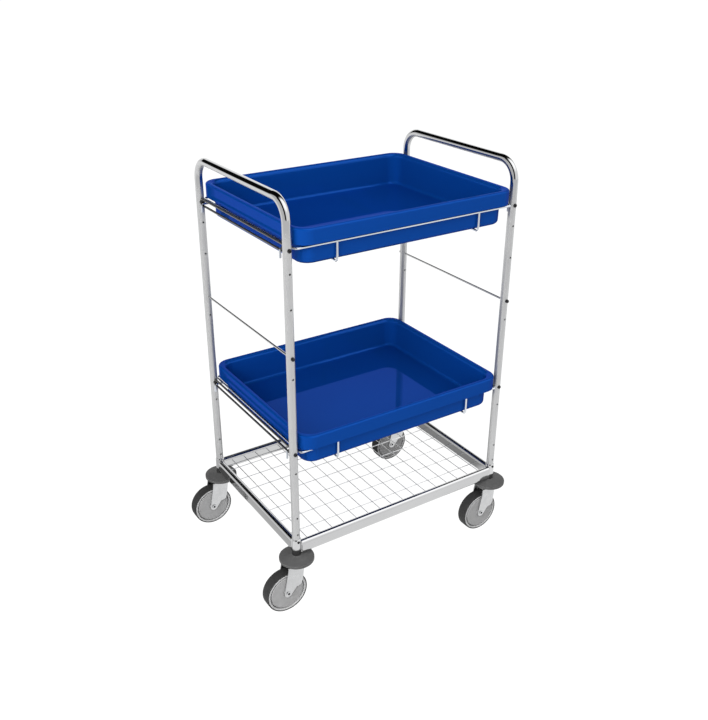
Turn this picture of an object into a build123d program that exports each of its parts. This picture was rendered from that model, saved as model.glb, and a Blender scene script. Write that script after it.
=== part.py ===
from build123d import *
import os

# Transport trolley with two lift-out tubs on wire carriers, a wire-grid base and
# four swivel castors.  Millimetres, +Z up, +X towards the right-hand end, -Y front.
# The origin is on the floor, at the middle of the footprint with the castors trailing to -X.

# ---------------------------------------------------------------- driving dimensions
CX = 27.0                   # X of the middle of the post frame
HALF_L = 347.0              # half the post spacing along X
HALF_D = 242.0              # half the post spacing along Y
TUBE_R = 11.0               # post and handle tube
TUBE_WALL = 1.5
TOP_AXIS = 1162.0           # height of the handle bar's axis
BEND_R = 55.0               # bend of the handle, on the axis
POST_FOOT = 188.0           # lower end of the posts

ZB_UPPER = 1045.5           # screw height of the upper end rails
ZB_LOWER = 494.0            # screw height of the lower end rails
ROD_Z = 769.0               # height of the tie rods
HOLE_Z = (988.0, 898.0, 712.0, 435.0, 293.0, 239.0)   # spare height holes
HOLE_R = 2.75
SCREW_R = 3.0
ROD_R = 3.0

SLEEVE_R = 13.2             # corner sleeves
SLEEVE_TOP = 222.0
SLEEVE_SCREW_Z = 215.0

RAIL_W = 20.0               # base rails, flat-oval tube
RAIL_BOTTOM = 173.0
RAIL_H = 40.5
RAIL_WALL = 1.5
RAIL_OUT = 5.0              # front and back rails, out from the posts' middle
RAIL_MID = RAIL_BOTTOM + RAIL_H / 2

GRID_R = 1.25               # base grid wires
LONG_Z = 175.0
CROSS_Z = 177.5
CROSS_PITCH = 41.7
LONG_PITCH = 64.0

WIRE_R = 3.0                # end rails and carriers
RAIL_GAP = 8.7              # wires above and below the screw
BOSS_R = 6.2
BOSS_IN = 223.5             # inner end of the bosses
RING_X = 332.0
RING_Y = 254.6
RING_UP = 2.6
STIRRUP_X = 219.0
STIRRUP_Y = 255.4
STIRRUP_DOWN = 48.3
LOWER_DROP = 1.8            # the lower tub hangs this much deeper
HOOK_Y = 219.5
HOOK_IN = 326.0
HOOK_OUT = 353.5
HOOK_DOWN = 25.0

TUB_X = 331.5               # half size over the turned-down rim
TUB_Y = 268.5
TUB_CORNER = 42.0
TUB_TOP = 49.0              # heights from the end-rail screws
SKIRT_BOTTOM = 9.3
TUB_FLOOR = -42.0
TUB_BOTTOM = -45.0
TUB_WALL = 3.0
WALL_IN = 20.0              # inner wall below the rim, from the outside of the rim
WALL_CORNER = 38.0
WALL_DRAFT = 1.5
RIM_ROUND = 5.5             # outer edge of the rim
RIM_ROLL = 11.0             # inner edge of the rim

TRAIL = 40.5                # castors
WHEEL_R = 62.5
DISC_R = 49.0
FORK_HALF_W = 21.7
FORK_WALL = 3.0
CROWN_TOP = 146.0
CROWN_BOTTOM = 138.5
STEM_R = 6.0
AXLE_R = 4.0
RUN = 0.05                  # running clearance on the radius

XL, XR = CX - HALF_L, CX + HALF_L
YF, YB = -HALF_D, HALF_D
POSTS = [(XL, YF), (XR, YF), (XL, YB), (XR, YB)]

os.makedirs("parts", exist_ok=True)


def along_y(x, y, z):
    """Plane whose normal is +Y."""
    return Plane(origin=(x, y, z), x_dir=(1, 0, 0), z_dir=(0, 1, 0))


def along_x(x, y, z):
    """Plane whose normal is +X, with Y across and Z up."""
    return Plane(origin=(x, y, z), x_dir=(0, 1, 0), z_dir=(1, 0, 0))


def save(part, name):
    part.label = name
    export_step(part, "parts/" + name + ".step")


# ---------------------------------------------------------------- end frames
for name, px in (("left_end_frame", XL), ("right_end_frame", XR)):
    with BuildPart() as end_frame:
        with BuildLine():
            FilletPolyline(
                (px, YF, POST_FOOT),
                (px, YF, TOP_AXIS),
                (px, YB, TOP_AXIS),
                (px, YB, POST_FOOT),
                radius=BEND_R,
            )
        with BuildSketch(Plane(origin=(px, YF, POST_FOOT))):
            Circle(TUBE_R)
            Circle(TUBE_R - TUBE_WALL, mode=Mode.SUBTRACT)
        sweep()
        # cross holes right through both legs: spare heights, end-rail screws, tie rod
        with BuildSketch(along_y(px, YF - 20, 0)):
            with Locations(*[(0, -z) for z in HOLE_Z]):
                Circle(HOLE_R)
            with Locations((0, -ZB_UPPER), (0, -ZB_LOWER)):
                Circle(SCREW_R)
            with Locations((0, -ROD_Z)):
                Circle(ROD_R)
        extrude(amount=2 * HALF_D + 40, mode=Mode.SUBTRACT)
        # holes for the sleeve screws, in the outer walls
        with BuildSketch(along_y(px, YF - 20, SLEEVE_SCREW_Z)):
            Circle(2.2)
        extrude(amount=20, mode=Mode.SUBTRACT)
        with BuildSketch(along_y(px, YB, SLEEVE_SCREW_Z)):
            Circle(2.2)
        extrude(amount=20, mode=Mode.SUBTRACT)
    save(end_frame.part, name)

# ---------------------------------------------------------------- corner sleeves
with BuildPart() as sleeves:
    with BuildSketch(Plane.XY.offset(POST_FOOT)):
        with Locations(*POSTS):
            Circle(SLEEVE_R)
    extrude(amount=SLEEVE_TOP - POST_FOOT)
    chamfer(
        sleeves.edges().filter_by(GeomType.CIRCLE).group_by(Axis.Z)[-1],
        length=3.0,
        length2=1.8,
    )
    with BuildSketch(Plane.XY.offset(POST_FOOT)):
        with Locations(*POSTS):
            Circle(TUBE_R)
    extrude(amount=SLEEVE_TOP - POST_FOOT, mode=Mode.SUBTRACT)
    for px, py in POSTS:
        y0 = py - 20 if py < 0 else py
        with BuildSketch(along_y(px, y0, SLEEVE_SCREW_Z)):
            Circle(2.2)
        extrude(amount=20, mode=Mode.SUBTRACT)
save(sleeves.part, "corner_sleeves")

# ---------------------------------------------------------------- sleeve screws
with BuildPart() as sleeve_screws:
    for px, py in POSTS:
        side = -1 if py < 0 else 1
        with BuildSketch(along_y(px, py + side * (SLEEVE_R + 2.0), SLEEVE_SCREW_Z)):
            Circle(3.8)
        extrude(amount=-side * 4.0)
    fillet(
        sleeve_screws.edges().filter_by(GeomType.CIRCLE).group_by(Axis.Y)[0]
        + sleeve_screws.edges().filter_by(GeomType.CIRCLE).group_by(Axis.Y)[-1],
        1.0,
    )
    with BuildSketch(Plane.XY.offset(POST_FOOT)):
        with Locations(*POSTS):
            Circle(SLEEVE_R)
    extrude(amount=40, mode=Mode.SUBTRACT)
    for px, py in POSTS:
        side = -1 if py < 0 else 1
        with BuildSketch(along_y(px, py + side * (SLEEVE_R + 0.8), SLEEVE_SCREW_Z)):
            Circle(2.2)
        extrude(amount=-side * 7.0)
    for px, py in POSTS:
        side = -1 if py < 0 else 1
        with BuildSketch(along_y(px, py + side * (SLEEVE_R + 2.0), SLEEVE_SCREW_Z)):
            RegularPolygon(1.7, 6)
        extrude(amount=-side * 1.6, mode=Mode.SUBTRACT)
save(sleeve_screws.part, "sleeve_screws")

# ---------------------------------------------------------------- base rails
for name, py, out in (
    ("base_front_rail", YF, -RAIL_OUT),
    ("base_back_rail", YB, RAIL_OUT),
):
    with BuildPart() as rail:
        with BuildSketch(along_x(XL + SLEEVE_R - 2, py + out, RAIL_MID)):
            SlotOverall(RAIL_H, RAIL_W, rotation=90)
            SlotOverall(
                RAIL_H - 2 * RAIL_WALL,
                RAIL_W - 2 * RAIL_WALL,
                rotation=90,
                mode=Mode.SUBTRACT,
            )
        extrude(amount=2 * (HALF_L - SLEEVE_R + 2))
        with BuildSketch(Plane.XY.offset(RAIL_BOTTOM - 5)):
            with Locations((XL, py), (XR, py)):
                Circle(SLEEVE_R)
        extrude(amount=RAIL_H + 10, mode=Mode.SUBTRACT)
    save(rail.part, name)

for name, px in (("base_left_rail", XL), ("base_right_rail", XR)):
    with BuildPart() as rail:
        with BuildSketch(along_y(px, YF, RAIL_MID)):
            SlotOverall(RAIL_H, RAIL_W, rotation=90)
            SlotOverall(
                RAIL_H - 2 * RAIL_WALL,
                RAIL_W - 2 * RAIL_WALL,
                rotation=90,
                mode=Mode.SUBTRACT,
            )
        extrude(amount=2 * HALF_D)
        with BuildSketch(Plane.XY.offset(RAIL_BOTTOM - 5)):
            with Locations((px, YF), (px, YB)):
                Circle(SLEEVE_R)
        extrude(amount=RAIL_H + 10, mode=Mode.SUBTRACT)
    save(rail.part, name)

# ---------------------------------------------------------------- base grid
with BuildPart() as long_wires:
    with BuildSketch(along_x(XL + 3, 0, LONG_Z)):
        with Locations(*[((k - 3.5) * LONG_PITCH, 0) for k in range(8)]):
            Circle(GRID_R)
    extrude(amount=2 * HALF_L - 6)
    # ends fitted to the end rails
    for px in (XL, XR):
        with BuildSketch(along_y(px, YF, RAIL_MID)):
            SlotOverall(RAIL_H, RAIL_W, rotation=90)
        extrude(amount=2 * HALF_D, mode=Mode.SUBTRACT)
save(long_wires.part, "mesh_long_wires")

with BuildPart() as cross_wires:
    with BuildSketch(along_y(CX, YF - 2, CROSS_Z)):
        with Locations(*[(k * CROSS_PITCH, 0) for k in range(-8, 9)]):
            Circle(GRID_R)
    extrude(amount=2 * HALF_D + 4)
    # ends fitted to the side rails
    for py in (YF - RAIL_OUT, YB + RAIL_OUT):
        with BuildSketch(along_x(XL, py, RAIL_MID)):
            SlotOverall(RAIL_H, RAIL_W, rotation=90)
        extrude(amount=2 * HALF_L, mode=Mode.SUBTRACT)
save(cross_wires.part, "mesh_cross_wires")

# ---------------------------------------------------------------- tie rods and cap nuts
for name, px in (("left_cross_rod", XL), ("right_cross_rod", XR)):
    with BuildPart() as rod:
        with BuildSketch(along_y(px, YF - TUBE_R - 4.0, ROD_Z)):
            Circle(ROD_R)
        extrude(amount=2 * (HALF_D + TUBE_R + 4.0))
    save(rod.part, name)

with BuildPart() as cap_nuts:
    for px, py in POSTS:
        side = -1 if py < 0 else 1
        with BuildSketch(along_y(px, py + side * (TUBE_R + 6.5), ROD_Z)):
            Circle(5.0)
        extrude(amount=-side * 9.0)
    fillet(
        cap_nuts.edges().filter_by(GeomType.CIRCLE).group_by(Axis.Y)[0]
        + cap_nuts.edges().filter_by(GeomType.CIRCLE).group_by(Axis.Y)[-1],
        3.2,
    )
    with BuildSketch(Plane.XY.offset(ROD_Z - 20)):
        with Locations(*POSTS):
            Circle(TUBE_R)
    extrude(amount=40, mode=Mode.SUBTRACT)
    for px, py in POSTS:
        side = -1 if py < 0 else 1
        with BuildSketch(along_y(px, py + side * (TUBE_R + 4.0), ROD_Z)):
            Circle(ROD_R)
        extrude(amount=-side * 10.0, mode=Mode.SUBTRACT)
save(cap_nuts.part, "cross_rod_cap_nuts")

# ---------------------------------------------------------------- end rails
for name, px, zb in (
    ("upper_left_rail", XL, ZB_UPPER),
    ("upper_right_rail", XR, ZB_UPPER),
    ("lower_left_rail", XL, ZB_LOWER),
    ("lower_right_rail", XR, ZB_LOWER),
):
    with BuildPart() as end_rail:
        with BuildSketch(along_y(px, YF + 7, zb)):
            with Locations((0, RAIL_GAP), (0, -RAIL_GAP)):
                Circle(WIRE_R)
        extrude(amount=2 * HALF_D - 14)
        # ends fitted to the round posts
        with BuildSketch(Plane.XY.offset(zb - 30)):
            with Locations((px, YF), (px, YB)):
                Circle(TUBE_R)
        extrude(amount=60, mode=Mode.SUBTRACT)
    save(end_rail.part, name)

with BuildPart() as bosses:
    for px in (XL, XR):
        for zb in (ZB_UPPER, ZB_LOWER):
            with BuildSketch(along_y(px, YF + 7, zb)):
                Circle(BOSS_R)
                Circle(SCREW_R, mode=Mode.SUBTRACT)
            extrude(amount=HALF_D - 7 - BOSS_IN)
            with BuildSketch(along_y(px, BOSS_IN, zb)):
                Circle(BOSS_R)
                Circle(SCREW_R, mode=Mode.SUBTRACT)
            extrude(amount=HALF_D - 7 - BOSS_IN)
            # seats for the rail's two wires
            with BuildSketch(along_y(px, YF, zb)):
                with Locations((0, RAIL_GAP), (0, -RAIL_GAP)):
                    Circle(WIRE_R)
            extrude(amount=2 * HALF_D, mode=Mode.SUBTRACT)
    # ends fitted to the round posts
    with BuildSketch(Plane.XY.offset(ZB_LOWER - 30)):
        with Locations(*POSTS):
            Circle(TUBE_R)
    extrude(amount=ZB_UPPER - ZB_LOWER + 60, mode=Mode.SUBTRACT)
save(bosses.part, "end_rail_bosses")

with BuildPart() as rail_screws:
    seats = [(px, py, zb) for px, py in POSTS for zb in (ZB_UPPER, ZB_LOWER)]
    for px, py, zb in seats:
        side = -1 if py < 0 else 1
        with BuildSketch(along_y(px, py + side * (TUBE_R + 3.0), zb)):
            Circle(5.4)
        extrude(amount=-side * 5.6)
    fillet(
        rail_screws.edges().filter_by(GeomType.CIRCLE).group_by(Axis.Y)[0]
        + rail_screws.edges().filter_by(GeomType.CIRCLE).group_by(Axis.Y)[-1],
        1.8,
    )
    with BuildSketch(Plane.XY.offset(ZB_LOWER - 30)):
        with Locations(*POSTS):
            Circle(TUBE_R)
    extrude(amount=ZB_UPPER - ZB_LOWER + 60, mode=Mode.SUBTRACT)
    for px, py, zb in seats:
        side = -1 if py < 0 else 1
        with BuildSketch(along_y(px, py + side * (TUBE_R + 0.5), zb)):
            Circle(SCREW_R)
        extrude(amount=-side * 29.0)
    for px, py, zb in seats:
        side = -1 if py < 0 else 1
        with BuildSketch(along_y(px, py + side * (TUBE_R + 3.0), zb)):
            RegularPolygon(2.4, 6)
        extrude(amount=-side * 2.4, mode=Mode.SUBTRACT)
save(rail_screws.part, "end_rail_screws")

# ---------------------------------------------------------------- tub carriers
for level, zb, drop in (("upper", ZB_UPPER, 0.0), ("lower", ZB_LOWER, LOWER_DROP)):
    with BuildPart() as ring:
        with BuildLine() as ring_path:
            FilletPolyline(
                (CX - RING_X, -RING_Y, zb + RING_UP),
                (CX + RING_X, -RING_Y, zb + RING_UP),
                (CX + RING_X, RING_Y, zb + RING_UP),
                (CX - RING_X, RING_Y, zb + RING_UP),
                radius=8.0,
                close=True,
            )
        with BuildSketch(
            Plane(origin=ring_path.wires()[0] @ 0, z_dir=ring_path.wires()[0] % 0)
        ):
            Circle(WIRE_R)
        sweep()
    save(ring.part, level + "_carrier_ring")

    with BuildPart() as stirrups:
        for sx in (CX - STIRRUP_X, CX + STIRRUP_X):
            with BuildLine() as stirrup_path:
                FilletPolyline(
                    (sx, -STIRRUP_Y, zb + RING_UP + 1.9),
                    (sx, -STIRRUP_Y, zb - STIRRUP_DOWN - drop),
                    (sx, STIRRUP_Y, zb - STIRRUP_DOWN - drop),
                    (sx, STIRRUP_Y, zb + RING_UP + 1.9),
                    radius=9.0,
                )
            with BuildSketch(Plane(origin=(sx, -STIRRUP_Y, zb + RING_UP + 1.9), z_dir=(0, 0, -1))):
                Circle(WIRE_R)
            sweep()
        # upper ends fitted to the ring's front and back wires
        with BuildSketch(along_x(CX - STIRRUP_X - 20, 0, zb + RING_UP)):
            with Locations((-RING_Y, 0), (RING_Y, 0)):
                Circle(WIRE_R)
        extrude(amount=2 * STIRRUP_X + 40, mode=Mode.SUBTRACT)
    save(stirrups.part, level + "_carrier_stirrups")

    with BuildPart() as hooks:
        for side in (-1, 1):
            for hy in (-HOOK_Y, HOOK_Y):
                zh = zb - RAIL_GAP + 2 * WIRE_R
                with BuildLine() as hook_path:
                    FilletPolyline(
                        (CX + side * HOOK_IN, hy, zh),
                        (CX + side * HOOK_OUT, hy, zh),
                        (CX + side * HOOK_OUT, hy, zb - HOOK_DOWN),
                        radius=6.0,
                    )
                with BuildSketch(
                    Plane(origin=(CX + side * HOOK_IN, hy, zh), z_dir=(side, 0, 0))
                ):
                    Circle(WIRE_R)
                sweep()
            # seats for the ring's end wires
            with BuildSketch(along_y(CX + side * RING_X, -RING_Y, zb + RING_UP)):
                Circle(WIRE_R)
            extrude(amount=2 * RING_Y, mode=Mode.SUBTRACT)
    save(hooks.part, level + "_carrier_hooks")

# ---------------------------------------------------------------- tubs
for name, zb in (("upper_tub", ZB_UPPER), ("lower_tub", ZB_LOWER - LOWER_DROP)):
    wall_out = WALL_IN - TUB_WALL
    # the space inside, drafted like the body, with a rounded floor edge
    with BuildPart() as inside:
        with BuildSketch(Plane(origin=(CX, 0, zb + TUB_TOP))):
            RectangleRounded(
                2 * (TUB_X - WALL_IN) + 1.0,
                2 * (TUB_Y - WALL_IN) + 1.0,
                WALL_CORNER - TUB_WALL,
            )
        extrude(amount=-(TUB_TOP - TUB_FLOOR), taper=WALL_DRAFT)
        fillet(inside.faces().sort_by(Axis.Z)[0].edges(), 9.0)
    # the hollow under the rim, rounded to leave an even wall
    with BuildPart() as hollow:
        with BuildSketch(Plane(origin=(CX, 0, zb + SKIRT_BOTTOM))):
            RectangleRounded(
                2 * (TUB_X - TUB_WALL), 2 * (TUB_Y - TUB_WALL), TUB_CORNER - TUB_WALL
            )
            RectangleRounded(
                2 * (TUB_X - wall_out - 0.5),
                2 * (TUB_Y - wall_out - 0.5),
                WALL_CORNER,
                mode=Mode.SUBTRACT,
            )
        extrude(amount=TUB_TOP - TUB_WALL - SKIRT_BOTTOM)
        roof = hollow.faces().sort_by(Axis.Z)[-1]
        fillet(roof.outer_wire().edges(), RIM_ROUND - TUB_WALL)
        roof = hollow.faces().filter_by(Plane.XY).sort_by(Axis.Z)[-1]
        fillet(roof.inner_wires()[0].edges(), RIM_ROLL - TUB_WALL)
    with BuildPart() as tub:
        # lower body, drafted, with a rounded bottom edge
        with BuildSketch(Plane(origin=(CX, 0, zb + TUB_TOP - 8))):
            RectangleRounded(
                2 * (TUB_X - wall_out), 2 * (TUB_Y - wall_out), WALL_CORNER
            )
        extrude(amount=-(TUB_TOP - 8 - TUB_BOTTOM), taper=WALL_DRAFT)
        fillet(tub.faces().sort_by(Axis.Z)[0].edges(), 11.0)
        # turned-down rim
        with BuildSketch(Plane(origin=(CX, 0, zb + SKIRT_BOTTOM))):
            RectangleRounded(2 * TUB_X, 2 * TUB_Y, TUB_CORNER)
        extrude(amount=TUB_TOP - SKIRT_BOTTOM)
        fillet(tub.faces().sort_by(Axis.Z)[-1].edges(), RIM_ROUND)
        add(hollow.part, mode=Mode.SUBTRACT)
        add(inside.part, mode=Mode.SUBTRACT)
        # rolled inner edge of the rim
        top_face = tub.faces().filter_by(Plane.XY).sort_by(Axis.Z)[-1]
        fillet(top_face.inner_wires()[0].edges(), RIM_ROLL)
        # soft lower edge of the skirt
        skirt_faces = [
            f
            for f in tub.faces().filter_by(Plane.XY)
            if abs(f.center().Z - (zb + SKIRT_BOTTOM)) < 0.1
        ]
        fillet(skirt_faces[0].edges(), 1.0)
    save(tub.part, name)

# ---------------------------------------------------------------- castor mountings
with BuildPart() as stems:
    for px, py in POSTS:
        with BuildSketch(Plane(origin=(px, py, 131.5))):
            Circle(11.0)
        extrude(amount=CROWN_BOTTOM - 0.3 - 131.5)
    fillet(stems.edges().filter_by(GeomType.CIRCLE).group_by(Axis.Z)[0], 3.0)
    for px, py in POSTS:
        with BuildSketch(Plane(origin=(px, py, 137.0))):
            Circle(STEM_R)
        extrude(amount=205.0 - 137.0)
save(stems.part, "castor_stems")

with BuildPart() as plugs:
    for px, py in POSTS:
        with BuildSketch(Plane(origin=(px, py, 0), x_dir=(1, 0, 0), z_dir=(0, -1, 0))):
            with BuildLine():
                Polyline(
                    (STEM_R, 170.5),
                    (12.4, 170.5),
                    (12.4, 187.0),
                    (11.4, 188.0),
                    (TUBE_R - TUBE_WALL, 188.0),
                    (TUBE_R - TUBE_WALL, 206.0),
                    (TUBE_R - TUBE_WALL - 1.5, 208.0),
                    (STEM_R, 208.0),
                    close=True,
                )
            make_face()
        revolve(axis=Axis((px, py, 0), (0, 0, 1)))
save(plugs.part, "stem_plugs")

with BuildPart() as discs:
    for px, py in POSTS:
        with BuildSketch(Plane(origin=(px, py, 0), x_dir=(1, 0, 0), z_dir=(0, -1, 0))):
            with BuildLine():
                Polyline(
                    (STEM_R, 149.0),
                    (20.0, 149.0),
                    (20.0, 157.0),
                    (44.5, 157.0),
                    (44.5, 153.4),
                    (48.2, 153.4),
                    (DISC_R, 154.2),
                    (DISC_R, 160.7),
                )
                ThreePointArc((DISC_R, 160.7), (48.6, 161.6), (47.5, 162.1))
                Polyline(
                    (47.5, 162.1),
                    (17.0, 169.4),
                    (15.0, 170.5),
                    (STEM_R, 170.5),
                    (STEM_R, 149.0),
                )
            make_face()
        revolve(axis=Axis((px, py, 0), (0, 0, 1)))
save(discs.part, "bumper_discs")

with BuildPart() as bearings:
    for px, py in POSTS:
        with BuildSketch(Plane(origin=(px, py, CROWN_TOP + 0.3))):
            Circle(20.0)
            Circle(STEM_R, mode=Mode.SUBTRACT)
        extrude(amount=149.0 - CROWN_TOP - 0.3)
save(bearings.part, "swivel_bearings")

# ---------------------------------------------------------------- castors
for corner, (px, py) in zip(
    ("front_left", "front_right", "back_left", "back_right"), POSTS
):
    ax, az = px - TRAIL, WHEEL_R
    axle = Axis((ax, py, az), (0, 1, 0))

    with BuildPart() as fork:
        # plan: two cheeks that close in to a rounded nose on the leading side
        with BuildSketch(Plane(origin=(px, py, 40.0))):
            with Locations((-34.0, 0)):
                Rectangle(52.0, 2 * FORK_HALF_W)
            with Locations((-8.0, 0)):
                Ellipse(33.5, FORK_HALF_W)
        extrude(amount=CROWN_TOP - 40.0)
        # side outline
        with BuildSketch(Plane(origin=(px, py, 0), x_dir=(1, 0, 0), z_dir=(0, -1, 0))):
            with BuildLine():
                Polyline(
                    (-52.5, 62.5),
                    (-38.5, 137.0),
                    (-36.5, 150.0),
                    (30.0, 150.0),
                    (24.5, 140.0),
                    (13.5, 127.0),
                    (7.0, 92.0),
                    (1.5, 79.5),
                    (-6.0, 77.0),
                    (-14.5, 76.0),
                    (-31.5, 54.6),
                )
                ThreePointArc((-31.5, 54.6), (-41.5, 50.5), (-52.5, 62.5))
            make_face()
        extrude(amount=40, both=True, mode=Mode.INTERSECT)
        fillet(fork.edges().group_by(Axis.Z)[-1], 1.5)
        # room for the wheel
        with BuildSketch(Plane(origin=(px, py, 30.0))):
            with Locations((-39.0, 0)):
                Rectangle(62.0, 2 * (FORK_HALF_W - FORK_WALL))
            with Locations((-8.0, 0)):
                Ellipse(33.5 - FORK_WALL, FORK_HALF_W - FORK_WALL)
        extrude(amount=CROWN_BOTTOM - 30.0, mode=Mode.SUBTRACT)
        with BuildSketch(along_y(ax, py - 17.2, az)):
            Circle(WHEEL_R + 4.5)
        extrude(amount=34.4, mode=Mode.SUBTRACT)
        # crown cut back between the trailing edges
        with BuildSketch(Plane(origin=(px, py, 120.0))):
            with Locations((-45.0, 0)):
                Rectangle(32.0, 2 * (FORK_HALF_W - FORK_WALL))
        extrude(amount=40.0, mode=Mode.SUBTRACT)
        # swivel bore and axle holes
        with BuildSketch(Plane(origin=(px, py, 130.0))):
            Circle(STEM_R + RUN)
        extrude(amount=30.0, mode=Mode.SUBTRACT)
        with BuildSketch(along_y(ax, py - 40, az)):
            Circle(AXLE_R)
        extrude(amount=80, mode=Mode.SUBTRACT)
    save(fork.part, corner + "_fork")

    with BuildPart() as bolt:
        with BuildSketch(along_y(ax, py - FORK_HALF_W - 2.2, az)):
            Circle(7.0)
        extrude(amount=2.2)
        fillet(bolt.edges().group_by(Axis.Y)[0], 0.9)
        with BuildSketch(along_y(ax, py - FORK_HALF_W, az)):
            Circle(AXLE_R)
        extrude(amount=2 * FORK_HALF_W + 6.0)
        with BuildSketch(along_y(ax, py - FORK_HALF_W - 2.2, az)):
            RegularPolygon(3.6, 6)
        extrude(amount=3.4, mode=Mode.SUBTRACT)
    save(bolt.part, corner + "_axle_bolt")

    with BuildPart() as nut:
        with BuildSketch(along_y(ax, py + FORK_HALF_W, az)):
            RegularPolygon(7.5, 6)
        extrude(amount=6.5)
        with BuildSketch(along_y(ax, py + FORK_HALF_W, az)):
            Circle(7.2)
        extrude(amount=6.5, mode=Mode.INTERSECT)
        with BuildSketch(along_y(ax, py + FORK_HALF_W, az)):
            Circle(AXLE_R)
        extrude(amount=6.5, mode=Mode.SUBTRACT)
    save(nut.part, corner + "_axle_nut")

    with BuildPart() as tyre:
        with BuildSketch(Plane(origin=(ax, py, az))):
            with BuildLine():
                Polyline(
                    (62.1, 14.6), (61.5, 15.7), (60.6, 16.2), (59.3, 16.2), (59.3, 13.0), (55.0, 13.0),
                    (55.0, -13.0), (59.3, -13.0), (59.3, -16.2), (60.6, -16.2), (61.5, -15.7), (62.1, -14.6),
                )
                ThreePointArc((62.1, -14.6), (WHEEL_R, 0), (62.1, 14.6))
            make_face()
        revolve(axis=axle)
    save(tyre.part, corner + "_tyre")

    with BuildPart() as rim:
        with BuildSketch(Plane(origin=(ax, py, az))):
            with BuildLine():
                Polyline(
                    (7.0, -18.2), (12.0, -18.2), (12.3, -11.0), (14.0, -5.0),
                    (44.5, -5.0), (45.5, -6.0), (45.5, -12.5), (48.5, -12.5),
                    (48.5, -6.0), (53.5, -6.0), (53.5, -15.2), (54.3, -16.0),
                    (57.6, -16.0), (58.7, -15.5), (59.3, -14.3), (59.3, -13.0),
                    (55.0, -13.0), (55.0, 13.0), (59.3, 13.0), (59.3, 14.3),
                    (58.7, 15.5), (57.6, 16.0), (54.3, 16.0), (53.5, 15.2),
                    (53.5, 6.0), (48.5, 6.0), (48.5, 12.5), (45.5, 12.5),
                    (45.5, 6.0), (44.5, 5.0), (14.0, 5.0),
                    (12.3, 11.0), (12.0, 18.2), (7.0, 18.2),
                    close=True,
                )
            make_face()
        revolve(axis=axle)
    save(rim.part, corner + "_wheel_rim")

    with BuildPart() as covers:
        with BuildSketch(Plane(origin=(ax, py, az))):
            for s in (-1, 1):
                with BuildLine():
                    Polyline(
                        (12.6, s * 12.5), (50.0, s * 12.5), (50.0, s * 14.6),
                        (49.0, s * 15.6), (46.0, s * 15.8), (13.4, s * 16.4),
                        (12.6, s * 15.8),
                        close=True,
                    )
                make_face()
        revolve(axis=axle)
    save(covers.part, corner + "_wheel_covers")

    with BuildPart() as bush:
        with BuildSketch(along_y(ax, py - 18.4, az)):
            Circle(7.0)
            Circle(AXLE_R + RUN, mode=Mode.SUBTRACT)
        extrude(amount=36.8)
    save(bush.part, corner + "_wheel_bush")
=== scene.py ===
import bpy
import math
from mathutils import Matrix, Vector


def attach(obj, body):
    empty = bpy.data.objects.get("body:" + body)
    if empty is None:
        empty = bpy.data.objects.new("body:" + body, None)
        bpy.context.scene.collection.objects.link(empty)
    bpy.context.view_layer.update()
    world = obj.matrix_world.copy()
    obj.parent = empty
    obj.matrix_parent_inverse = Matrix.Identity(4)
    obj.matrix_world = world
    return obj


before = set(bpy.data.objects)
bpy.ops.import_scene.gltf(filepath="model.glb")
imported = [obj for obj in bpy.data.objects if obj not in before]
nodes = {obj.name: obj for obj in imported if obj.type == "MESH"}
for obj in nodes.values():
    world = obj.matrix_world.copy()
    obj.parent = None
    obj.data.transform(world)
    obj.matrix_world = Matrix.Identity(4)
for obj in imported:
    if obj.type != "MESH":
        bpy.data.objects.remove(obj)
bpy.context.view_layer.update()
scene = bpy.context.scene

# ------------------------------------------------------------------ camera
CAM_POS = Vector((-1.23417, -1.92073, 1.69855))
CAM_RIGHT = Vector((0.839579, -0.543233, 0.002173))
CAM_UP = Vector((0.238980, 0.372936, 0.896553))
CAM_FWD = Vector((0.487848, 0.752208, -0.442931))

cam_data = bpy.data.cameras.new("camera")
cam = bpy.data.objects.new("camera", cam_data)
scene.collection.objects.link(cam)
rot = Matrix((CAM_RIGHT, CAM_UP, -CAM_FWD)).transposed()
cam.matrix_world = Matrix.Translation(CAM_POS) @ rot.to_4x4()
cam_data.sensor_fit = "AUTO"
cam_data.sensor_width = 36.0
cam_data.lens = 43.3287
cam_data.shift_x = 0.0052
cam_data.shift_y = 0.0031
cam_data.clip_start = 0.05
cam_data.clip_end = 200.0
scene.camera = cam

scene.view_settings.view_transform = "Standard"
scene.view_settings.look = "None"
scene.view_settings.exposure = 0.0
scene.view_settings.gamma = 1.0


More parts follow.
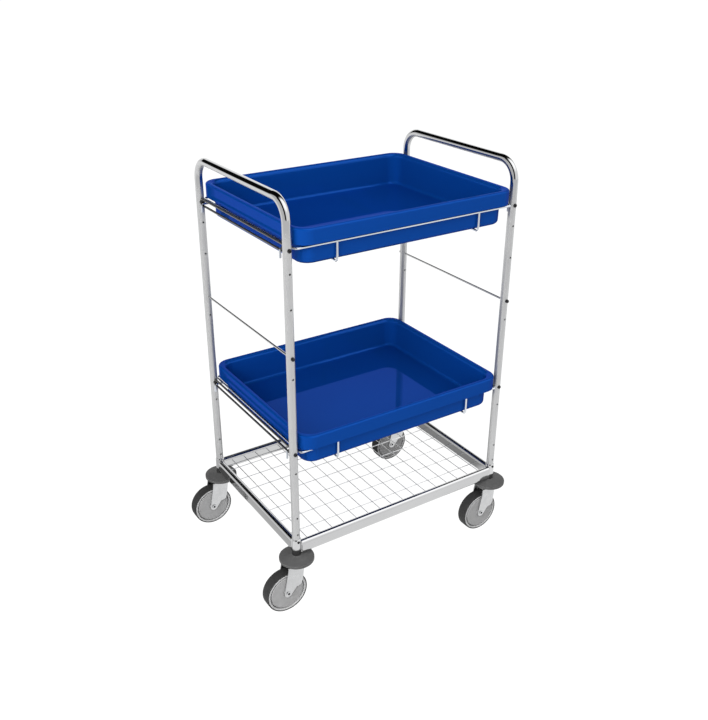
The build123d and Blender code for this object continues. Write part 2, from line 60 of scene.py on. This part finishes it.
# ------------------------------------------------------------------ node helpers
class Mat:
    """A node material with one main shader."""

    def __init__(self, name):
        self.mat = bpy.data.materials.new(name)
        self.mat.use_nodes = True
        self.nt = self.mat.node_tree
        self.nt.nodes.clear()
        self.out = self.nt.nodes.new("ShaderNodeOutputMaterial")
        self.bsdf = self.nt.nodes.new("ShaderNodeBsdfPrincipled")
        self.link(self.bsdf.outputs["BSDF"], self.out.inputs["Surface"])
        self.coord = self.nt.nodes.new("ShaderNodeTexCoord")

    def node(self, kind, **props):
        n = self.nt.nodes.new(kind)
        for k, v in props.items():
            setattr(n, k, v)
        return n

    def link(self, a, b):
        self.nt.links.new(a, b)

    def set(self, **values):
        for k, v in values.items():
            self.bsdf.inputs[k.replace("_", " ")].default_value = v

    def mapped(self, scale=(1, 1, 1), rotation=(0, 0, 0)):
        m = self.node("ShaderNodeMapping")
        m.inputs["Scale"].default_value = scale
        m.inputs["Rotation"].default_value = rotation
        self.link(self.coord.outputs["Object"], m.inputs["Vector"])
        return m.outputs["Vector"]

    def noise(self, scale, detail=3.0, rough=0.5, vector=None, distortion=0.0):
        n = self.node("ShaderNodeTexNoise")
        n.inputs["Scale"].default_value = scale
        n.inputs["Detail"].default_value = detail
        n.inputs["Roughness"].default_value = rough
        n.inputs["Distortion"].default_value = distortion
        self.link(vector if vector is not None else self.coord.outputs["Object"], n.inputs["Vector"])
        return n.outputs["Fac"]

    def ramp(self, fac, stops):
        r = self.node("ShaderNodeValToRGB")
        el = r.color_ramp.elements
        while len(el) < len(stops):
            el.new(0.5)
        for e, (p, c) in zip(el, stops):
            e.position = p
            e.color = (c, c, c, 1.0) if isinstance(c, (int, float)) else (*c, 1.0)
        self.link(fac, r.inputs["Fac"])
        return r.outputs["Color"]

    def between(self, fac, lo, hi, frm=(0.3, 0.7)):
        """The factor spread from lo to hi."""
        m = self.node("ShaderNodeMapRange")
        m.inputs["From Min"].default_value = frm[0]
        m.inputs["From Max"].default_value = frm[1]
        m.inputs["To Min"].default_value = lo
        m.inputs["To Max"].default_value = hi
        self.link(fac, m.inputs["Value"])
        return m.outputs["Result"]

    def colour(self, socket):
        self.link(socket, self.bsdf.inputs["Base Color"])

    def rough(self, socket):
        self.link(socket, self.bsdf.inputs["Roughness"])

    def bump(self, height, strength, distance):
        b = self.node("ShaderNodeBump")
        b.inputs["Strength"].default_value = strength
        b.inputs["Distance"].default_value = distance
        self.link(height, b.inputs["Height"])
        self.link(b.outputs["Normal"], self.bsdf.inputs["Normal"])


# ------------------------------------------------------------------ materials
def chrome(name, tone, r_lo, r_hi, stretch, grain, reflection_tint=(1.0, 1.0, 1.0)):
    """Polished plate: faint polishing streaks along the piece and small changes of gloss."""
    m = Mat(name)
    m.set(Metallic=1.0)
    cloud = m.noise(9.0, 3.0)
    # reflection_tint is a colour cast laid on the chrome; on the carrier wires it is a painted reflection of the blue
    # tubs
    r, g, b = (tone * c for c in reflection_tint)
    m.colour(m.ramp(cloud, [(0.25, (r * 0.965, g * 0.97, b * 0.98)), (0.75, (r * 1.02, g * 1.025, b * 1.03))]))
    m.rough(m.between(m.noise(26.0, 4.0, 0.6), r_lo, r_hi))
    streak = m.noise(grain, 2.0, 0.5, m.mapped(stretch))
    m.bump(streak, 0.05, 0.00006)
    return m.mat


def chrome_tube(name, tone, satin_tone, r_top, r_satin, stretch, grain):
    """Bent tube, polished bright at the handle and its bends, hazy satin on the legs and under the handle."""
    m = Mat(name)

    def climb(source, start, full):
        part = m.node("ShaderNodeSeparateXYZ")
        m.link(m.coord.outputs[source], part.inputs["Vector"])
        rise = m.node("ShaderNodeMapRange", interpolation_type="SMOOTHSTEP")
        rise.inputs["From Min"].default_value = start
        rise.inputs["From Max"].default_value = full
        m.link(part.outputs["Z"], rise.inputs["Value"])
        return rise.outputs["Result"]

    polish = m.node("ShaderNodeMath", operation="MULTIPLY")
    m.link(climb("Object", 1.060, 1.105), polish.inputs[0])
    m.link(climb("Normal", -0.50, -0.12), polish.inputs[1])
    shine = polish.outputs["Value"]
    m.link(m.between(shine, 0.85, 1.0, (0.0, 1.0)), m.bsdf.inputs["Metallic"])
    cloud = m.noise(9.0, 3.0)
    tones = [m.ramp(cloud, [(0.25, (t * 0.965, t * 0.97, t * 0.98)), (0.75, (t * 1.02, t * 1.025, t * 1.03))])
             for t in (satin_tone, tone)]
    mix = m.node("ShaderNodeMixRGB")
    m.link(shine, mix.inputs["Fac"])
    m.link(tones[0], mix.inputs["Color1"])
    m.link(tones[1], mix.inputs["Color2"])
    m.colour(mix.outputs["Color"])
    wear = m.noise(26.0, 4.0, 0.6)
    gloss = m.node("ShaderNodeMapRange")
    m.link(shine, gloss.inputs["Value"])
    m.link(m.between(wear, r_satin * 0.9, r_satin * 1.1), gloss.inputs["To Min"])
    m.link(m.between(wear, r_top * 0.7, r_top * 1.4), gloss.inputs["To Max"])
    m.rough(gloss.outputs["Result"])
    m.bump(m.noise(grain, 2.0, 0.5, m.mapped(stretch)), 0.05, 0.00006)
    return m.mat


chrome_post = chrome_tube("chrome_tube_finish", 0.53, 0.46, 0.05, 0.36, (1, 1, 0.05), 420.0)
chrome_x = chrome("chrome_rail_finish_x", 0.53, 0.05, 0.10, (0.05, 1, 1), 420.0)
chrome_y = chrome("chrome_rail_finish_y", 0.53, 0.05, 0.10, (1, 0.05, 1), 420.0)
chrome_wire = chrome("chrome_wire_finish", 0.53, 0.05, 0.10, (0.25, 0.25, 0.25), 600.0)
# painted light and painted reflection: the carrier ring, stirrups and hooks get a brighter chrome tone than the other
# wires, a lit copy of the chrome, with a faint blue tint standing for the blue tubs they reflect
chrome_ring_painted_light = chrome("chrome_carrier_painted_light_and_reflection", 0.68, 0.05, 0.10, (0.25, 0.25, 0.25), 600.0, (0.95, 0.99, 1.05))
# painted shade: the end-rail wires are the same chrome as the other rails but get a near-black tone, a shaded copy of
# the chrome
chrome_end_painted_shade = chrome("chrome_end_rail_painted_shade", 0.13, 0.30, 0.42, (1, 0.1, 1), 600.0)
chrome_sleeve = chrome("chrome_sleeve_finish", 0.60, 0.06, 0.12, (1, 1, 0.3), 400.0)
# painted light: the base mesh wires get a much brighter chrome tone than the other chrome, a lit copy of it
chrome_mesh_painted_light = chrome("mesh_wire_painted_light", 0.82, 0.28, 0.38, (0.3, 0.3, 0.3), 700.0)


def screw_steel():
    m = Mat("screw_steel_finish")
    m.set(Metallic=1.0)
    m.colour(m.ramp(m.noise(220.0, 3.0), [(0.3, (0.50, 0.505, 0.515)), (0.7, (0.62, 0.625, 0.63))]))
    m.rough(m.between(m.noise(500.0, 3.0), 0.16, 0.30))
    m.bump(m.noise(1500.0, 2.0), 0.06, 0.00005)
    return m.mat


def bolt_steel():
    """The axle bolts: bright heads, with painted shade making the socket in the middle near black."""
    m = Mat("axle_bolt_finish_and_socket_shade")
    m.set(Metallic=1.0)
    part = m.node("ShaderNodeSeparateXYZ")
    m.link(m.coord.outputs["Object"], part.inputs["Vector"])

    def maths(kind, a, b=None):
        n = m.node("ShaderNodeMath", operation=kind)
        m.link(a, n.inputs[0])
        if isinstance(b, float):
            n.inputs[1].default_value = b
        elif b is not None:
            m.link(b, n.inputs[1])
        return n.outputs["Value"]

    across = maths("SUBTRACT", maths("ABSOLUTE", maths("ADD", part.outputs["X"], 0.0135)), 0.347)
    up = maths("SUBTRACT", part.outputs["Z"], 0.0625)
    span = maths("SQRT", maths("ADD", maths("MULTIPLY", across, across), maths("MULTIPLY", up, up)))
    grain = m.between(m.noise(220.0, 3.0), 0.0, 0.12)
    place = maths("ADD", m.between(span, 0.0, 0.8, (0.0, 0.0075)), grain)
    # painted shade: a near-black disc at the middle of each bolt head stands for the shade inside the hex socket
    m.colour(m.ramp(place, [(0.40, (0.018, 0.018, 0.019)), (0.46, (0.46, 0.465, 0.475)), (0.95, (0.58, 0.585, 0.59))]))
    m.rough(m.between(m.noise(500.0, 3.0), 0.16, 0.30))
    m.bump(m.noise(1500.0, 2.0), 0.06, 0.00005)
    return m.mat


def black_steel():
    """Black-oxide steel: dark, slightly mottled, half gloss."""
    m = Mat("screw_black_finish")
    m.set(Metallic=1.0)
    m.colour(m.ramp(m.noise(260.0, 3.0), [(0.3, (0.034, 0.034, 0.036)), (0.7, (0.052, 0.052, 0.054))]))
    m.rough(m.between(m.noise(500.0, 3.0), 0.24, 0.38))
    m.bump(m.noise(1500.0, 2.0), 0.06, 0.00005)
    return m.mat


def zinc():
    m = Mat("castor_zinc_finish")
    m.set(Metallic=1.0)
    m.colour(m.ramp(m.noise(60.0, 4.0, 0.6), [(0.3, (0.50, 0.505, 0.51)), (0.7, (0.57, 0.575, 0.58))]))
    m.rough(m.between(m.noise(160.0, 4.0, 0.6, m.mapped((1, 1, 0.3))), 0.24, 0.38))
    m.bump(m.noise(900.0, 2.0), 0.05, 0.00008)
    return m.mat


def tub_plastic():
    """Glossy moulded polyethylene: even royal blue, near-mirror skin, the faintest flow in tone and gloss."""
    m = Mat("tub_plastic_finish")
    m.set(Metallic=0.40, Specular_IOR_Level=0.0, Specular_Tint=(0.20, 0.40, 0.95, 1.0), Coat_Weight=0.072, Coat_Roughness=0.03)
    flow = m.noise(4.0, 3.0, 0.55, m.mapped((1.0, 1.4, 2.2)), 0.4)
    m.colour(m.ramp(flow, [(0.25, (0.0014, 0.0350, 0.195)), (0.75, (0.0017, 0.0370, 0.206))]))
    m.rough(m.between(m.noise(14.0, 3.0), 0.025, 0.06))
    m.bump(m.noise(55.0, 2.0), 0.012, 0.0004)
    return m.mat


def rubber(name, dark, light, r_lo, r_hi, level):
    m = Mat(name)
    m.set(Specular_IOR_Level=level)
    m.colour(m.ramp(m.noise(90.0, 5.0, 0.65), [(0.3, (dark,) * 3), (0.72, (light,) * 3)]))
    m.rough(m.between(m.noise(240.0, 3.0), r_lo, r_hi))
    m.bump(m.noise(1400.0, 3.0, 0.6), 0.12, 0.00025)
    return m.mat


def plastic(name, dark, light, r_lo, r_hi, level=0.4):
    m = Mat(name)
    m.set(Specular_IOR_Level=level)
    m.colour(m.ramp(m.noise(45.0, 4.0, 0.6), [(0.3, (dark,) * 3), (0.7, (light, light, light * 1.01))]))
    m.rough(m.between(m.noise(120.0, 3.0), r_lo, r_hi))
    m.bump(m.noise(1100.0, 2.0), 0.08, 0.00015)
    return m.mat


SCREW = screw_steel()
BOLT = bolt_steel()
BLACK = black_steel()
ZINC = zinc()
TUB = tub_plastic()
BUMPER = rubber("bumper_rubber_finish", 0.042, 0.053, 0.45, 0.62, 0.35)
TYRE = rubber("tyre_rubber_finish", 0.013, 0.020, 0.55, 0.75, 0.25)
PLUG = plastic("plug_nylon_finish", 0.008, 0.013, 0.35, 0.5)
RIM = plastic("wheel_rim_finish", 0.25, 0.28, 0.35, 0.5)
END_PLUG = plastic("rail_plug_finish", 0.30, 0.36, 0.4, 0.55)
COVER = plastic("wheel_cover_finish", 0.178, 0.202, 0.38, 0.52)

by_node = {
    "left_end_frame": chrome_post,
    "right_end_frame": chrome_post,
    "corner_sleeves": chrome_sleeve,
    "sleeve_screws": BLACK,
    "base_front_rail": chrome_x,
    "base_back_rail": chrome_x,
    "base_left_rail": chrome_y,
    "base_right_rail": chrome_y,
    "mesh_long_wires": chrome_mesh_painted_light,
    "mesh_cross_wires": chrome_mesh_painted_light,
    "cross_rod_cap_nuts": BLACK,
    "end_rail_screws": BLACK,
    "end_rail_bosses": PLUG,
    "castor_stems": ZINC,
    "stem_plugs": PLUG,
    "bumper_discs": BUMPER,
    "swivel_bearings": ZINC,
    "upper_tub": TUB,
    "lower_tub": TUB,
}
by_end = {
    "_cross_rod": chrome_wire,
    "_left_rail": chrome_end_painted_shade,
    "_right_rail": chrome_end_painted_shade,
    "_carrier_ring": chrome_ring_painted_light,
    "_carrier_stirrups": chrome_ring_painted_light,
    "_carrier_hooks": chrome_ring_painted_light,
    "_fork": ZINC,
    "_axle_bolt": BOLT,
    "_axle_nut": SCREW,
    "_tyre": TYRE,
    "_wheel_rim": RIM,
    "_wheel_covers": COVER,
    "_wheel_bush": PLUG,
}
# closed ends for the front and back base rails, just inside the mouths beside the sleeves
mouths = []
faces = []
for end in (0.027 - 0.347 + 0.0116, 0.027 + 0.347 - 0.0116):
    for middle in (-0.247, 0.247):
        first = len(mouths)
        for layer in (end - 0.0002, end + 0.0002):
            for k in range(32):
                turn = 2 * math.pi * (k + 0.5) / 32
                bend = 0.00995 if math.sin(turn) >= 0 else -0.00995
                mouths.append((layer, middle + 0.0088 * math.cos(turn), 0.19325 + bend + 0.0088 * math.sin(turn)))
        faces.append([first + k for k in range(32)])
        faces.append([first + 32 + k for k in reversed(range(32))])
        for k in range(32):
            after = (k + 1) % 32
            faces.append([first + k, first + 32 + k, first + 32 + after, first + after])
ends_mesh = bpy.data.meshes.new("rail_end_plates")
ends_mesh.from_pydata(mouths, [], faces)
ends_mesh.update()
ends = bpy.data.objects.new("rail_end_plates", ends_mesh)
scene.collection.objects.link(ends)
ends_mesh.materials.append(END_PLUG)
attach(ends, "frame")

for n, o in nodes.items():
    found = by_node.get(n)
    if found is None:
        found = next(v for k, v in by_end.items() if n.endswith(k))
    for s in o.material_slots:
        s.material = found

# ------------------------------------------------------------------ floor and light
floor_mesh = bpy.data.meshes.new("floor")
R = 40.0
floor_mesh.from_pydata([(-R, -R, -0.0004), (R, -R, -0.0004), (R, R, -0.0004), (-R, R, -0.0004)], [], [(0, 1, 2, 3)])
floor = bpy.data.objects.new("floor", floor_mesh)
scene.collection.objects.link(floor)
fm = Mat("floor_paint")
fm.set(Base_Color=(0.06, 0.06, 0.06, 1.0), Roughness=0.9, Specular_IOR_Level=0.0,
       Emission_Color=(1.0, 1.0, 1.0, 1.0), Emission_Strength=1.0)
floor_mesh.materials.append(fm.mat)
floor.visible_diffuse = False
floor.visible_glossy = False

# a glowing floor card that only the bright metal sees, with painted shade: fading toward the front, painted shadow
# under the trolley and behind its left end
card_mesh = bpy.data.meshes.new("floor_shade")
card_mesh.from_pydata([(-R, -R, -0.0002), (R, -R, -0.0002), (R, R, -0.0002), (-R, R, -0.0002)], [], [(0, 1, 2, 3)])
card = bpy.data.objects.new("floor_shade", card_mesh)
scene.collection.objects.link(card)
cm = Mat("floor_shade_paint")
cm.set(Base_Color=(0.0, 0.0, 0.0, 1.0), Roughness=1.0, Specular_IOR_Level=0.0, Emission_Color=(1.0, 1.0, 1.0, 1.0))


def smooth(value, start, full, lo, hi):
    n = cm.node("ShaderNodeMapRange", interpolation_type="SMOOTHSTEP")
    n.inputs["From Min"].default_value = start
    n.inputs["From Max"].default_value = full
    n.inputs["To Min"].default_value = lo
    n.inputs["To Max"].default_value = hi
    cm.link(value, n.inputs["Value"])
    return n.outputs["Result"]


def times(a, b):
    n = cm.node("ShaderNodeMath", operation="MULTIPLY")
    cm.link(a, n.inputs[0])
    cm.link(b, n.inputs[1])
    return n.outputs["Value"]


def patch(centre, half, soft, depth):
    """One soft-edged rectangle of painted shadow: 1 outside, 1 - depth inside."""
    inside = []
    for axis, c, h in zip("XY", centre, half):
        off = cm.node("ShaderNodeMath", operation="SUBTRACT")
        off.inputs[1].default_value = c
        cm.link(split.outputs[axis], off.inputs[0])
        far = cm.node("ShaderNodeMath", operation="ABSOLUTE")
        cm.link(off.outputs["Value"], far.inputs[0])
        inside.append(smooth(far.outputs["Value"], h, h + soft, 1.0, 0.0))
    return smooth(times(*inside), 0.0, 1.0, 1.0, 1.0 - depth)


split = cm.node("ShaderNodeSeparateXYZ")
cm.link(cm.coord.outputs["Object"], split.inputs["Vector"])
run = cm.node("ShaderNodeVectorMath", operation="DOT_PRODUCT")
run.inputs[1].default_value = (0.544, 0.839, 0.0)
cm.link(cm.coord.outputs["Object"], run.inputs[0])
tone = smooth(run.outputs["Value"], -1.65, -0.25, 0.84, 1.14)
tone = times(tone, patch((-0.60, 0.30), (0.14, 0.34), 0.10, 0.42))
tone = times(tone, patch((0.16, 0.33), (0.14, 0.28), 0.09, 0.68))
cm.link(tone, cm.bsdf.inputs["Emission Strength"])
card_mesh.materials.append(cm.mat)
card.visible_camera = False
card.visible_diffuse = False
card.visible_shadow = False
card.visible_transmission = False

# large soft lights from the front left, one high and two low, kept out of the mirror surfaces
for name, energy, place in (
    ("key", 236.0, (-2.4, -2.43, 3.15)),
    ("fill_left", 140.0, (-3.1, -1.6, 1.45)),
    ("fill_front", 38.0, (-1.7, -3.1, 1.45)),
):
    data = bpy.data.lights.new(name, "AREA")
    data.shape = "SQUARE"
    data.size = 2.6
    data.energy = energy
    lamp = bpy.data.objects.new(name, data)
    scene.collection.objects.link(lamp)
    lamp.location = place
    lamp.rotation_euler = (Vector((0.03, 0.0, 0.75)) - lamp.location).to_track_quat("-Z", "Y").to_euler()
    lamp.visible_glossy = False

# soft light all round, weaker on the left and stronger overhead, with one dark opening high at the back
world = bpy.data.worlds.new("studio")
scene.world = world
world.use_nodes = True
wt = world.node_tree
wt.nodes.clear()

LIGHT_LEFT, LIGHT_RIGHT, LIGHT_TOP = 0.80, 1.20, 0.70
OPENING_LIGHT = 0.004
# the opening's edges: direction, and where along it the dark starts and is full
OPENING_EDGES = (
    ((-0.493, -0.668, 0.558), -0.414, -0.314),
    ((0.784, 0.435, 0.441), -0.06, 0.05),
    ((0.0, 1.0, 0.0), -0.15, 0.30),
)


def wnode(kind, **props):
    n = wt.nodes.new(kind)
    for k, v in props.items():
        setattr(n, k, v)
    return n


def along(axis):
    n = wnode("ShaderNodeVectorMath", operation="DOT_PRODUCT")
    n.inputs[1].default_value = axis
    wt.links.new(coord.outputs["Generated"], n.inputs[0])
    return n.outputs["Value"]


def step(socket, start, full, lo=0.0, hi=1.0):
    n = wnode("ShaderNodeMapRange", interpolation_type="SMOOTHSTEP")
    n.inputs["From Min"].default_value = start
    n.inputs["From Max"].default_value = full
    n.inputs["To Min"].default_value = lo
    n.inputs["To Max"].default_value = hi
    wt.links.new(socket, n.inputs["Value"])
    return n


coord = wnode("ShaderNodeTexCoord")
dark = None
for axis, start, full in OPENING_EDGES:
    edge = step(along(axis), start, full).outputs["Result"]
    if dark is not None:
        both = wnode("ShaderNodeMath", operation="MULTIPLY")
        wt.links.new(dark, both.inputs[0])
        wt.links.new(edge, both.inputs[1])
        edge = both.outputs["Value"]
    dark = edge
# a narrow dark gap runs on from the opening, overhead and down to the front
side = wnode("ShaderNodeMath", operation="ADD")
side.inputs[1].default_value = 0.46
wt.links.new(along((1.0, 0.0, 0.0)), side.inputs[0])
off = wnode("ShaderNodeMath", operation="ABSOLUTE")
wt.links.new(side.outputs["Value"], off.inputs[0])
gap = step(off.outputs["Value"], 0.18, 0.32, 1.0, 0.0).outputs["Result"]
for limit in (step(along((0.0, 1.0, 0.0)), 0.30, 0.50, 1.0, 0.0), step(along((0.0, 0.0, 1.0)), -0.06, 0.06)):
    both = wnode("ShaderNodeMath", operation="MULTIPLY")
    wt.links.new(gap, both.inputs[0])
    wt.links.new(limit.outputs["Result"], both.inputs[1])
    gap = both.outputs["Value"]
# and no light comes up from below
below = step(along((0.0, 0.0, 1.0)), -0.12, 0.02, 1.0, 0.0).outputs["Result"]
for more in (gap, below):
    most = wnode("ShaderNodeMath", operation="MAXIMUM")
    wt.links.new(dark, most.inputs[0])
    wt.links.new(more, most.inputs[1])
    dark = most.outputs["Value"]
around = step(along((1.0, 0.0, 0.0)), -0.50, 0.30, LIGHT_LEFT, LIGHT_RIGHT)
over = step(along((0.30, -0.12, 0.946)), 0.62, 0.86, 0.0, LIGHT_TOP)
level = wnode("ShaderNodeMath", operation="ADD")
wt.links.new(around.outputs["Result"], level.inputs[0])
wt.links.new(over.outputs["Result"], level.inputs[1])
glow = step(dark, 0.0, 1.0, 1.0, OPENING_LIGHT)
wt.links.new(level.outputs["Value"], glow.inputs["To Min"])
bg = wnode("ShaderNodeBackground")
bg.inputs["Color"].default_value = (1.0, 1.0, 1.0, 1.0)
wt.links.new(glow.outputs["Result"], bg.inputs["Strength"])
# behind the trolley the backdrop itself is plain and pale
path = wnode("ShaderNodeLightPath")
backdrop = wnode("ShaderNodeBackground")
backdrop.inputs["Color"].default_value = (1.0, 1.0, 1.0, 1.0)
backdrop.inputs["Strength"].default_value = 1.0
pick = wnode("ShaderNodeMixShader")
wt.links.new(path.outputs["Is Camera Ray"], pick.inputs["Fac"])
wt.links.new(bg.outputs["Background"], pick.inputs[1])
wt.links.new(backdrop.outputs["Background"], pick.inputs[2])
wout = wnode("ShaderNodeOutputWorld")
wt.links.new(pick.outputs["Shader"], wout.inputs["Surface"])

# ------------------------------------------------------------------ final update
bpy.context.view_layer.update()
